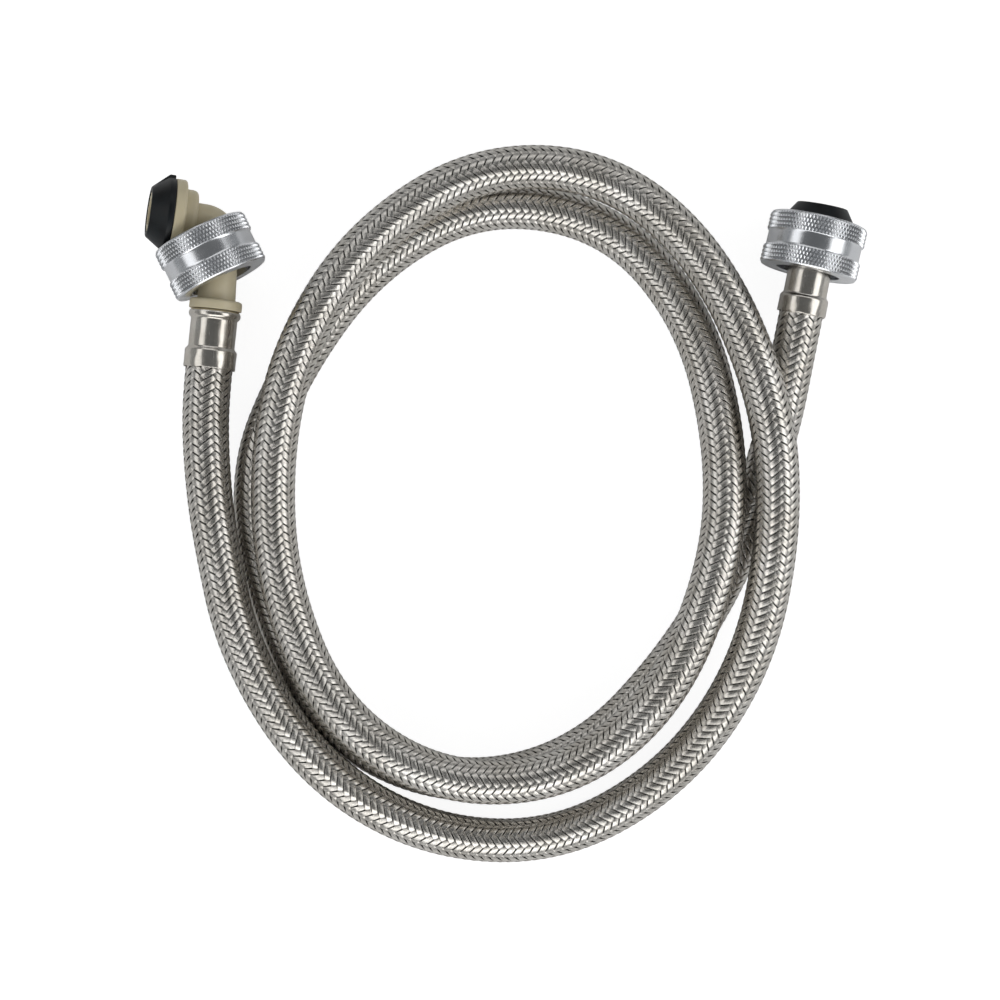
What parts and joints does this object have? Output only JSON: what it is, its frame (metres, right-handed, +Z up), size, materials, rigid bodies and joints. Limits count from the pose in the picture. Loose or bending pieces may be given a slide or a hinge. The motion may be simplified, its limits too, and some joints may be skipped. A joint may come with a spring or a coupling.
{
  "type": "braided supply hose",
  "caption": "Flexible braided water supply hose, coiled flat, with swivelling knurled coupling nuts: one on a straight stem and one on an elbow, each with a cone washer.",
  "frame": {"origin": "on the resting surface, under the middle of the box round the two end fittings", "axes": "+Z up from the resting surface; +X from the elbow fitting towards the straight fitting; the coiled hose lies towards -Y"},
  "size_m": [0.2336, 0.2321, 0.0318],
  "materials": {
    "braid": "braided stainless wire",
    "liner": "smooth",
    "ferrule": "crimped, polished",
    "stem": "turned",
    "elbow": "satin moulded",
    "nut": "diamond knurled",
    "washer": "matt"
  },
  "bodies": {
    "hose": {"hose_braid": "braid", "hose_liner": "liner", "elbow_ferrule": "ferrule", "straight_ferrule": "ferrule", "straight_stem": "stem", "elbow_body": "elbow"},
    "straight_coupling_nut": {"straight_nut": "nut"},
    "elbow_coupling_nut": {"elbow_nut": "nut"},
    "straight_washer": {"straight_cone_washer": "washer"},
    "elbow_washer": {"elbow_cone_washer": "washer"}
  },
  "joints": [
    {"name": "straight_nut_spin", "type": "hinge", "parent": "hose", "child": "straight_coupling_nut", "pos_m": [0.0991, 0.0085, 0.0159], "axis": [0.2284, 0.9736, 0], "continuous": true},
    {"name": "elbow_nut_ride", "type": "hinge", "parent": "hose", "child": "elbow_coupling_nut", "pos_m": [-0.11305, 0.00175, 0.02122], "axis": [0.2534, 0.164, 0.9534], "range_deg": [0, 60]},
    {"name": "straight_washer_slide", "type": "slide", "parent": "hose", "child": "straight_washer", "axis": [0.1869, 0.9799, 0.0698], "range_m": [0, 0.012]},
    {"name": "elbow_washer_slide", "type": "slide", "parent": "hose", "child": "elbow_washer", "axis": [-0.9618, 0.1283, 0.2419], "range_m": [0, 0.008]}
  ]
}
